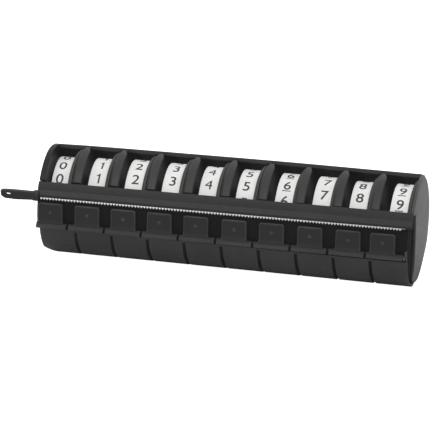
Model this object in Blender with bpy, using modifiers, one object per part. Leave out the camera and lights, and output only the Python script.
"""Hand-held dispenser for ten rolls of numbered cable-marker tape.

A slim cylindrical case lies along X.  Ten compartments hold one reel each on
a common tubular spindle.  A window along the top shows the printed tape, a
serrated cutter runs under the front bar, and ten thumb tabs below the cutter
swing on one hinge wire.  The object is built in metres, +Z up.  The origin is
the middle of the flat the case rests on, and the thumb tabs face -Y.

Dimensions are in millimetres.  "Forward" is -Y and "up" is +Z, both from the
case axis.  Angles are degrees about that axis, from the front over the top.
"""
import math

import bmesh
import bpy
from mathutils import Matrix, Vector

for old in list(bpy.data.objects):
    bpy.data.objects.remove(old, do_unlink=True)

MM = 0.001

# ---- case ------------------------------------------------------------------
CELLS = 10
PITCH = 11.4                  # compartment pitch
OUTER_R = 16.55               # shells and right plate
WALL = 1.25
INNER_R = OUTER_R - WALL
RIM_R = 16.15                 # divider rims, left rim and front bar
PLUG_R = 14.9                 # dividers and left plug inside the case
LEFT_X = -57.0                # left end of the back shell and front bar
FRONT_LEFT_X = -56.1          # left end of the front shell, which is shorter
RIGHT_X = 56.7                # right end of the two shells
FLAT_UP = -16.3               # flat the case rests on
WINDOW_LOW, WINDOW_HIGH = 36.0, 108.0  # window edges, degrees
WINDOW_GAP = 1.2              # degrees between a window edge and a raised rim
BACK_END = 253.5              # lower edge of the back shell, degrees

# ---- hinge -----------------------------------------------------------------
HINGE_FORWARD, HINGE_UP = 16.0, -3.0
WIRE_R, WIRE_BORE_R = 0.35, 0.5

# ---- spindle and reels -----------------------------------------------------
SPINDLE_R, SPINDLE_BORE_R = 3.2, 2.0
SPINDLE_X = (-54.7, 56.6)
REEL_BORE_R = 3.3
SPOOL_X = 2.3                 # left end of a spool, from the left divider plane
CORE_R = 7.7
CORE_BEVEL = 0.3
TAPE_X = 3.1                  # left edge of the tape, from the left divider plane
TAPE_W = 5.40
TAPE_CORE_GAP = 0.12
TAPE_FLANGE_GAP = 0.08
FLANGE_R, FLANGE_ROOT_R = 14.8, 14.05
FLANGE_T, FLANGE_SLOPE_W = 1.3, 0.75
# one entry per compartment, left to right
ROLL_R = (12.4, 12.9, 13.4, 13.4, 13.4, 13.5, 13.4, 13.4, 13.0, 13.3)
REEL_SHIFT = (0.0, 0.0, 0.0, 0.0, 0.0, 0.0, 0.55, 0.55, 0.3, 1.25)

# ---- scene and frames ------------------------------------------------------
parts = bpy.data.collections.new("marker_tape_dispenser")
tools = bpy.data.collections.new("cutters")
for group in (parts, tools):
    bpy.context.scene.collection.children.link(group)

# The case axis lies this far above the flat it stands on.
STAND = Matrix.Translation((0, 0, -FLAT_UP * MM))
# Frame of a turned piece: its Z runs along the case, its X forwards.
TURN = Matrix(((0, 0, 1), (-1, 0, 0), (0, -1, 0))).to_4x4()
# Frame of a side outline: X forwards, Y up, Z to the left.
SIDE = Matrix(((0, 0, -1), (-1, 0, 0), (0, 1, 0))).to_4x4()
# Frame of an upright outline: X along the case, Y up, Z forwards.
UPRIGHT = Matrix.Rotation(math.radians(90), 4, "X")

BLACK = (0.030, 0.030, 0.032)


def place(x, forward=0.0, up=0.0):
    return Matrix.Translation((x * MM, -forward * MM, up * MM))


def cell(k):
    """X of the divider plane at the left of compartment k."""
    return (k - CELLS / 2) * PITCH


def material(name, roughness, colour=BLACK, metallic=0.0):
    made = bpy.data.materials.new(name)
    made.use_nodes = True
    inputs = made.node_tree.nodes["Principled BSDF"].inputs
    inputs["Base Color"].default_value = (*colour, 1.0)
    inputs["Roughness"].default_value = roughness
    inputs["Metallic"].default_value = metallic
    return made


def add(name, mesh, matrix, finish=None):
    """Object from a mesh; without a finish it is a hidden boolean helper."""
    piece = bpy.data.objects.new(name, mesh)
    piece.matrix_world = STAND @ matrix
    if finish is None:
        tools.objects.link(piece)
        piece.hide_render = True
        piece.display_type = "WIRE"
    else:
        parts.objects.link(piece)
        mesh.materials.append(finish)
    return piece


# ---- outlines --------------------------------------------------------------
def polar(radius, degrees):
    angle = math.radians(degrees)
    return (radius * math.cos(angle), radius * math.sin(angle))


def arc(radius, start, end, step=6.0):
    count = max(1, round(abs(end - start) / step))
    return [polar(radius, start + (end - start) * i / count) for i in range(count + 1)]


def rounded(points, radii, steps=3):
    """Outline with its corners turned into short arcs."""
    result = []
    for i, (point, radius) in enumerate(zip(points, radii)):
        if radius <= 0:
            result.append(point)
            continue
        corner = Vector(point)
        to_last = (Vector(points[i - 1]) - corner).normalized()
        to_next = (Vector(points[(i + 1) % len(points)]) - corner).normalized()
        half = to_last.angle(to_next) / 2
        reach = radius / math.tan(half)
        centre = corner + (to_last + to_next).normalized() * (radius / math.sin(half))
        start = corner + to_last * reach - centre
        end = corner + to_next * reach - centre
        for j in range(steps + 1):
            part = j / steps
            spoke = (start * (1 - part) + end * part).normalized() * radius
            result.append(tuple(centre + spoke))
    return result


# ---- solids ----------------------------------------------------------------
def mesh_from(build, name):
    """Mesh from a bmesh, which is freed."""
    mesh = bpy.data.meshes.new(name)
    build.to_mesh(mesh)
    build.free()
    return mesh


def outline_mesh(name, loops, depth):
    """Closed solid from a flat outline, with inner loops as holes."""
    curve = bpy.data.curves.new(name, "CURVE")
    curve.dimensions = "2D"
    curve.fill_mode = "BOTH"
    curve.extrude = depth * MM / 2
    for loop in loops:
        spline = curve.splines.new("POLY")
        spline.points.add(len(loop) - 1)
        for point, (x, y) in zip(spline.points, loop):
            point.co = (x * MM, y * MM, 0, 1)
        spline.use_cyclic_u = True
    holder = bpy.data.objects.new(name, curve)
    tools.objects.link(holder)
    depsgraph = bpy.context.evaluated_depsgraph_get()
    mesh = bpy.data.meshes.new_from_object(holder.evaluated_get(depsgraph))
    bpy.data.objects.remove(holder, do_unlink=True)
    # weld the caps to the sides
    build = bmesh.new()
    build.from_mesh(mesh)
    bmesh.ops.remove_doubles(build, verts=build.verts, dist=1e-6)
    bmesh.ops.recalc_face_normals(build, faces=build.faces)
    build.to_mesh(mesh)
    build.free()
    mesh.name = name
    return mesh


def prism(name, points, x0, x1, finish=None):
    """Outline of (forward, up) points, extruded along the case from x0 to x1."""
    mesh = outline_mesh(name, [points], x1 - x0)
    return add(name, mesh, place((x0 + x1) / 2) @ SIDE, finish)


def upright(name, loops, back, front, x=0.0):
    """Helper from (x, up) loops, extruded forwards from back to front."""
    mesh = outline_mesh(name, loops, front - back)
    return add(name, mesh, place(x, (back + front) / 2) @ UPRIGHT)


def turned(name, profile, steps, x=0.0, finish=None):
    """Profile of (x, radius) points turned about the case axis.  It is closed
    into a ring unless an end lies on the axis."""
    build = bmesh.new()
    verts = [build.verts.new((radius * MM, 0, along * MM)) for along, radius in profile]
    for pair in zip(verts, verts[1:]):
        build.edges.new(pair)
    if profile[0][1] > 0 and profile[-1][1] > 0:
        build.edges.new((verts[-1], verts[0]))
    piece = add(name, mesh_from(build, name), place(x) @ TURN, finish)
    screw = piece.modifiers.new("turn", "SCREW")
    screw.axis = "Z"
    screw.angle = math.radians(360)
    screw.steps = steps
    screw.render_steps = steps
    screw.use_merge_vertices = True
    screw.merge_threshold = 1e-6
    screw.use_smooth_shade = False
    return piece


def box(name, low, high):
    """Helper box between two (x, forward, up) corners."""
    build = bmesh.new()
    bmesh.ops.create_cube(build, size=1.0)
    size = [(b - a) * MM for a, b in zip(low, high)]
    bmesh.ops.scale(build, verts=build.verts, vec=size)
    centre = [(a + b) / 2 for a, b in zip(low, high)]
    return add(name, mesh_from(build, name), place(*centre))


def hinge_rod(name, radius, x0, x1, sides=12, finish=None):
    """Cylinder on the hinge line."""
    build = bmesh.new()
    bmesh.ops.create_cone(build, cap_ends=True, segments=sides, radius1=radius * MM,
                          radius2=radius * MM, depth=(x1 - x0) * MM)
    middle = place((x0 + x1) / 2, HINGE_FORWARD, HINGE_UP)
    return add(name, mesh_from(build, name), middle @ TURN, finish)


def boolean(piece, other, operation):
    modifier = piece.modifiers.new(operation.lower(), "BOOLEAN")
    modifier.operation = operation
    modifier.solver = "EXACT"
    modifier.object = other


def smooth(piece):
    piece.data.shade_smooth()
    piece.data.set_sharp_from_angle(angle=math.radians(35))


# ---- dividers --------------------------------------------------------------
DIVIDER_T = 1.1
DIVIDER_BORE_R = REEL_BORE_R + 0.2
FLARE = 1.15                  # right side of a divider's rim, from its plane
LIP_X = -1.42                 # lip at the left of the rim, from its plane
CUTBACK_FORWARD = 13.0        # straight front edge behind the thumb tabs
CUTBACK_UP = 4.6              # it runs this far above and below the axis


def inner_outline(window_r):
    """The plug radius all round, window_r inside the window, and cut back
    behind the thumb tabs."""
    cut = math.degrees(math.asin(CUTBACK_UP / PLUG_R))
    low, high = WINDOW_LOW + WINDOW_GAP, WINDOW_HIGH - WINDOW_GAP
    return ([polar(PLUG_R, cut)]
            + arc(PLUG_R, cut + 4, low)
            + arc(window_r, low, high)
            + arc(PLUG_R, high, 360 - cut, 8)
            + [(CUTBACK_FORWARD, -CUTBACK_UP), (CUTBACK_FORWARD, CUTBACK_UP)])


def divider(k):
    name = f"divider_{k}"
    half = DIVIDER_T / 2
    profile = [
        (half, 14.98), (FLARE, 15.6), (FLARE, RIM_R - 0.12), (FLARE - 0.12, RIM_R),
        (-half + 0.12, RIM_R), (-half, RIM_R - 0.15), (LIP_X, 15.24), (LIP_X, 15.12),
        (-half, 15.12), (-half, DIVIDER_BORE_R), (half, DIVIDER_BORE_R),
    ]
    piece = turned(name, profile, 26, cell(k), material(name, roughness=0.5))
    outline = inner_outline(OUTER_R + 1)
    boolean(piece, prism(name + "_outline", outline, cell(k) - 3, cell(k) + 3), "INTERSECT")


# ---- ends ------------------------------------------------------------------
STUB_R, STUB_TIP_R = 1.75, 1.4  # stubs reaching into the spindle
STUB_TAPER = 0.4              # length of a stub's tapered tip
LEFT_STUB_X, RIGHT_STUB_X = -52.0, 53.6
PLUG_FACE_X = -56.2           # left face of the left plug, set back in the case
PLUG_INNER_X = -55.0
PLUG_BEVEL = 0.3
LEFT_RIM_INNER_R = 13.6
LEFT_CUT_X = (-60, -50)       # helpers reach past the left end
PLATE_INNER_X = 56.9
CROWN_X = 58.15               # crown of the right plate's face


def left_end_cap():
    """Set-back plug with a spindle stub, and a rim in the window."""
    profile = [
        (PLUG_FACE_X, 0.0), (PLUG_FACE_X, PLUG_R - PLUG_BEVEL),
        (PLUG_FACE_X + PLUG_BEVEL, PLUG_R), (PLUG_INNER_X, PLUG_R), (PLUG_INNER_X, STUB_R),
        (LEFT_STUB_X - STUB_TAPER, STUB_R), (LEFT_STUB_X, STUB_TIP_R), (LEFT_STUB_X, 0.0),
    ]
    cap = turned("left_end_cap", profile, 28, finish=material("left_end_cap", roughness=0.45))
    boolean(cap, prism("left_outline", inner_outline(PLUG_R), *LEFT_CUT_X), "INTERSECT")
    profile = [
        (LEFT_X, LEFT_RIM_INNER_R), (LEFT_X, RIM_R - 0.7), (-56.85, RIM_R - 0.25),
        (-56.4, RIM_R), (PLUG_INNER_X - 0.1, RIM_R), (PLUG_INNER_X, RIM_R - 0.1),
        (PLUG_INNER_X, LEFT_RIM_INNER_R),
    ]
    rim = turned("left_rim", profile, 60)
    low, high = WINDOW_LOW + WINDOW_GAP, WINDOW_HIGH - WINDOW_GAP
    sector = arc(OUTER_R + 1, low, high) + arc(12.0, high, low)
    boolean(rim, prism("left_sector", sector, *LEFT_CUT_X), "INTERSECT")
    boolean(cap, rim, "UNION")


def right_end_cap():
    """Crowned plate with a spindle stub, cut away at the front below the bar."""
    profile = [
        (CROWN_X, 0.0), (58.09, 9.0), (57.95, 13.9), (57.75, 15.3), (57.45, OUTER_R - 0.4),
        (57.15, OUTER_R), (PLATE_INNER_X + 0.1, OUTER_R), (PLATE_INNER_X, OUTER_R - 0.1),
        (PLATE_INNER_X, STUB_R), (RIGHT_STUB_X + STUB_TAPER, STUB_R),
        (RIGHT_STUB_X, STUB_TIP_R), (RIGHT_STUB_X, 0.0),
    ]
    grey = material("right_end_cap", roughness=0.35, colour=(0.05, 0.05, 0.052))
    cap = turned("right_end_cap", profile, 32, finish=grey)
    boolean(cap, box("right_notch", (50, 10.0, -25), (60, 25, 2.4)), "DIFFERENCE")


# ---- shells ----------------------------------------------------------------
SLOT_W = 0.8                  # slots in the front shell, over the divider edges
SLOT_TOP, SLOT_BOTTOM = -17.6, -75  # open part of the bent sheet, degrees
FLAT_HALF = math.degrees(math.acos(-FLAT_UP / OUTER_R))
# bend lines of the front shell, degrees, from its upper edge down to the back
BENDS = (-15.6, SLOT_TOP, -25.5, -34, -42.5, -51, -59, -67, SLOT_BOTTOM,
         -90 + FLAT_HALF, -90 - FLAT_HALF, -106)
# hinge ear outlines, (forward, up)
EAR = [(14.95, -5.1), (15.45, -5.1), (16.25, -4.0), (16.75, -3.3), (16.7, -2.5),
       (15.4, -2.3), (15.3, -4.0)]
TALL_EAR = [(14.95, -5.1), (15.45, -5.1), (16.25, -4.0), (16.85, -3.2), (16.6, -0.7),
            (15.35, -0.7), (15.2, -4.0)]
EAR_X = (-1.85, -1.35)        # ear sides, from the divider plane
TALL_EAR_X = (55.6, 56.45)


def back_shell():
    outline = (arc(OUTER_R, WINDOW_HIGH, BACK_END, 5)
               + arc(INNER_R, BACK_END, WINDOW_HIGH))
    smooth(prism("back_shell", outline, LEFT_X, RIGHT_X,
                 material("back_shell", roughness=0.45)))


def over_slot(face):
    centre = face.calc_center_median() / MM
    angle = math.degrees(math.atan2(centre.z, -centre.y))
    return (SLOT_BOTTOM < angle < SLOT_TOP
            and any(abs(centre.x - cell(k)) < SLOT_W / 2 for k in range(1, CELLS)))


def front_sheet():
    """Sheet bent round the case, with its slots left open."""
    slot_sides = [cell(k) + side * SLOT_W / 2 for k in range(1, CELLS) for side in (-1, 1)]
    stations = [FRONT_LEFT_X, *slot_sides, RIGHT_X]
    columns, rows = len(stations) - 1, len(BENDS) - 1
    build = bmesh.new()
    bmesh.ops.create_grid(build, x_segments=columns, y_segments=rows, size=1.0)
    for vert in build.verts:
        i = round((vert.co.x + 1) / 2 * columns)
        j = round((vert.co.y + 1) / 2 * rows)
        forward, up = polar(OUTER_R, BENDS[j])
        vert.co = (stations[i] * MM, -forward * MM, up * MM)
    openings = [face for face in build.faces if over_slot(face)]
    bmesh.ops.delete(build, geom=openings, context="FACES")
    # normals point outwards, so that the wall thickens inwards
    for face in build.faces:
        centre = face.calc_center_median()
        if face.normal.dot(Vector((0, centre.y, centre.z))) < 0:
            face.normal_flip()
    return mesh_from(build, "front_shell")


def front_shell():
    shell = add("front_shell", front_sheet(), Matrix.Identity(4),
                material("front_shell", roughness=0.45))
    wall = shell.modifiers.new("wall", "SOLIDIFY")
    wall.thickness = WALL * MM
    wall.offset = -1
    wall.use_even_offset = True
    # ears between the thumb tabs, and a taller one at the right end
    for k in range(1, CELLS):
        left, right = (cell(k) + side for side in EAR_X)
        boolean(shell, prism(f"ear_{k}", EAR, left, right), "UNION")
    boolean(shell, prism(f"ear_{CELLS}", TALL_EAR, *TALL_EAR_X), "UNION")
    for k in range(1, CELLS):
        slot = box(f"slot_{k}", (cell(k) - SLOT_W / 2, 4.2, -22),
                   (cell(k) + SLOT_W / 2, 20, -4.87))
        boolean(shell, slot, "DIFFERENCE")
    # the bore stops inside the tall ear
    boolean(shell, hinge_rod("ear_bore", WIRE_BORE_R, -60, 56.2), "DIFFERENCE")


# ---- front bar and cutter --------------------------------------------------
BLADE_TIPS = Vector(polar(16.12, 16.75))   # lower edge of the blade, (forward, up)
BLADE_TOP = Vector(polar(15.45, 26.3))
BLADE_H = (BLADE_TOP - BLADE_TIPS).length
BLADE_UP = (BLADE_TOP - BLADE_TIPS).normalized()
BLADE_OUT = Vector((BLADE_UP.y, -BLADE_UP.x))
BLADE_T = 0.28
BLADE_X = -55.5
TOOTH, TOOTH_H, TEETH = 0.93, 0.42, 118    # tooth pitch, height and count
# seat of the blade in the bar: (height above the tips, distance outwards)
SEAT = ((0.62, 0.22), (BLADE_H + 0.12, 0.22), (BLADE_H + 0.2, -0.25))
TAB_BACK, TAB_FRONT = 14.6, 16.4
# hang tab outline: x, up, corner radius
TONGUE = [(-57.3, 4.6, 0), (-57.3, 6.6, 0), (-63.0, 6.5, 0), (-66.5, 6.38, 0),
          (-68.3, 6.1, 0.35), (-68.1, 4.9, 0.5), (-66.9, 4.3, 0.8), (-63.0, 4.3, 0)]
TAB_HOLE_X, TAB_HOLE_UP, TAB_HOLE_R = -65.9, 5.35, 0.65
TAB_HOLE_SIDES = 16
# collar round the root of the hang tab, (forward, up)
COLLAR = [(14.0, 6.9), (12.3, 6.3), (12.0, 4.9), (12.6, 4.4), (16.0, 4.3), (16.6, 4.6),
          (16.5, 6.2), (15.9, 6.8)]


def hang_tab():
    """Upright tongue with a through hole."""
    tongue = rounded([(x, up) for x, up, _ in TONGUE], [radius for _, _, radius in TONGUE])
    spokes = [polar(TAB_HOLE_R, 360 / TAB_HOLE_SIDES * i) for i in range(TAB_HOLE_SIDES)]
    hole = [(TAB_HOLE_X + x, TAB_HOLE_UP + up) for x, up in spokes]
    return upright("hang_tab", [tongue, hole], TAB_BACK, TAB_FRONT)


def front_bar():
    seat = [tuple(BLADE_TIPS + BLADE_UP * height + BLADE_OUT * out) for height, out in SEAT]
    lip = [polar(16.17, 25.0), polar(16.3, 22.5), polar(16.58, 20.6), polar(16.5, 19.6)]
    outline = (arc(RIM_R, WINDOW_LOW, 28, 4) + lip + seat
               + arc(INNER_R, 29.0, WINDOW_LOW, 4))
    bar = prism("front_bar", outline, LEFT_X, RIGHT_X, material("front_bar", roughness=0.45))
    boolean(bar, hang_tab(), "UNION")
    boolean(bar, prism("tab_collar", COLLAR, -58.2, LEFT_X + 0.15), "UNION")
    clear = box("blade_clear", (-55.8, 10.0, 2.0), (-54.0, 16.28, 5.45))
    boolean(bar, clear, "DIFFERENCE")
    smooth(bar)


def cutter_blade():
    edge = [(BLADE_X + i * TOOTH / 2, 0.0 if i % 2 else TOOTH_H) for i in range(2 * TEETH + 1)]
    strip = edge + [(BLADE_X + TEETH * TOOTH, BLADE_H), (BLADE_X, BLADE_H)]
    frame = Matrix(((1, 0, 0, 0),
                    (0, -BLADE_UP.x, -BLADE_OUT.x, -BLADE_TIPS.x * MM),
                    (0, BLADE_UP.y, BLADE_OUT.y, BLADE_TIPS.y * MM),
                    (0, 0, 0, 1)))
    steel = material("cutter_blade", roughness=0.25, colour=(0.75, 0.75, 0.76), metallic=1.0)
    add("cutter_blade", outline_mesh("cutter_blade", [strip], BLADE_T), frame, steel)


# ---- guide, spindle, wire and reels ----------------------------------------
GUIDE_INNER_R, GUIDE_OUTER_R = 14.95, 15.25
GUIDE_LOW, GUIDE_HIGH = -5.2, 16.2  # degrees


def tape_guide():
    """Thin curved wall between the reels and the thumb pads."""
    outline = (arc(GUIDE_OUTER_R, GUIDE_LOW, GUIDE_HIGH, 3)
               + arc(GUIDE_INNER_R, GUIDE_HIGH, GUIDE_LOW, 3))
    prism("tape_guide", outline, FRONT_LEFT_X, RIGHT_X - 0.2,
          material("tape_guide", roughness=0.8, colour=(0.01, 0.01, 0.01)))


def spindle():
    left, right = SPINDLE_X
    profile = [(right, SPINDLE_BORE_R), (right, SPINDLE_R), (left, SPINDLE_R),
               (left, SPINDLE_BORE_R)]
    grey = material("spindle", roughness=0.4, colour=(0.55, 0.55, 0.56))
    turned("spindle", profile, 20, finish=grey)


def hinge_wire():
    steel = material("hinge_wire", roughness=0.3, colour=(0.6, 0.6, 0.6), metallic=1.0)
    hinge_rod("hinge_wire", WIRE_R, -56.4, 56.1, sides=10, finish=steel)


def reel(k):
    """Spool with one wide flange at its right, and its wound tape."""
    x = cell(k) + REEL_SHIFT[k]
    flange_x = TAPE_X + TAPE_W
    spool_end = flange_x + FLANGE_T
    profile = [
        (spool_end, REEL_BORE_R), (spool_end, FLANGE_R), (flange_x + FLANGE_SLOPE_W, FLANGE_R),
        (flange_x, FLANGE_ROOT_R), (flange_x, CORE_R), (SPOOL_X + CORE_BEVEL, CORE_R),
        (SPOOL_X, CORE_R - CORE_BEVEL), (SPOOL_X, REEL_BORE_R),
    ]
    name = f"spool_{k}"
    turned(name, profile, 20, x, material(name, roughness=0.55))
    tape_end = flange_x - TAPE_FLANGE_GAP
    tape_bore = CORE_R + TAPE_CORE_GAP
    profile = [(tape_end, tape_bore), (tape_end, ROLL_R[k]), (TAPE_X, ROLL_R[k]),
               (TAPE_X, tape_bore)]
    name = f"tape_roll_{k}"
    turned(name, profile, 24, x, material(name, roughness=0.5, colour=(0.86, 0.86, 0.84)))


# ---- thumb tabs; x is taken from the left divider plane --------------------
PAD_X0, PAD_X1 = 0.07, 7.83
PAD_LOW, PAD_TOP = -2.3, 3.78
PAD_BACK, PAD_FRONT = 15.65, 16.35
PAD_ROUND = 0.7
# the pads stand unevenly on their ledges
PAD_SHIFT = (0.52, 0.45, 0.18, -0.05, -0.25, 0.07, 0.06, 0.33, 0.5, -0.45)
LEDGE_X0, LEDGE_X1 = -1.25, 9.45
FIRST_LEDGE_X0, LAST_LEDGE_X1 = 0.2, 9.75
# ledge outline, (forward, up)
LEDGE = [(15.2, -1.9), (16.1, -1.75), (17.3, -2.75), (17.35, -3.0), (17.15, -3.2),
         (15.95, -4.1), (15.2, -3.85)]
DOT_W = 1.3                   # small square boss on the pad
DOT_LOW = -0.1
DOT_BACK, DOT_FRONT = 16.0, 16.55


def thumb_tab(k):
    """Ledge on the hinge wire with an upright pad."""
    name = f"thumb_tab_{k}"
    x = cell(k)
    ledge_x0 = FIRST_LEDGE_X0 if k == 0 else LEDGE_X0
    ledge_x1 = LAST_LEDGE_X1 if k == CELLS - 1 else LEDGE_X1
    tab = prism(name, LEDGE, x + ledge_x0, x + ledge_x1, material(name, roughness=0.4))
    left, right = PAD_X0 + PAD_SHIFT[k], PAD_X1 + PAD_SHIFT[k]
    corners = [(left, PAD_LOW), (right, PAD_LOW), (right, PAD_TOP), (left, PAD_TOP)]
    pad = rounded(corners, [0, 0, PAD_ROUND, PAD_ROUND], 2)
    boolean(tab, upright(name + "_pad", [pad], PAD_BACK, PAD_FRONT, x), "UNION")
    middle = x + (left + right) / 2
    dot = box(name + "_dot", (middle - DOT_W / 2, DOT_BACK, DOT_LOW),
              (middle + DOT_W / 2, DOT_FRONT, DOT_LOW + DOT_W))
    boolean(tab, dot, "UNION")
    boolean(tab, hinge_rod(name + "_bore", WIRE_BORE_R, x - 4, x + 14), "DIFFERENCE")
    # move the origin onto the hinge wire
    pivot = STAND @ place(x + (PAD_X0 + PAD_X1) / 2, HINGE_FORWARD, HINGE_UP)
    tab.data.transform(pivot.inverted() @ tab.matrix_world)
    tab.matrix_world = pivot


# ---- assembly --------------------------------------------------------------
for k in range(1, CELLS):
    divider(k)
left_end_cap()
right_end_cap()
back_shell()
front_shell()
front_bar()
cutter_blade()
tape_guide()
spindle()
hinge_wire()
for k in range(CELLS):
    reel(k)
for k in range(CELLS):
    thumb_tab(k)
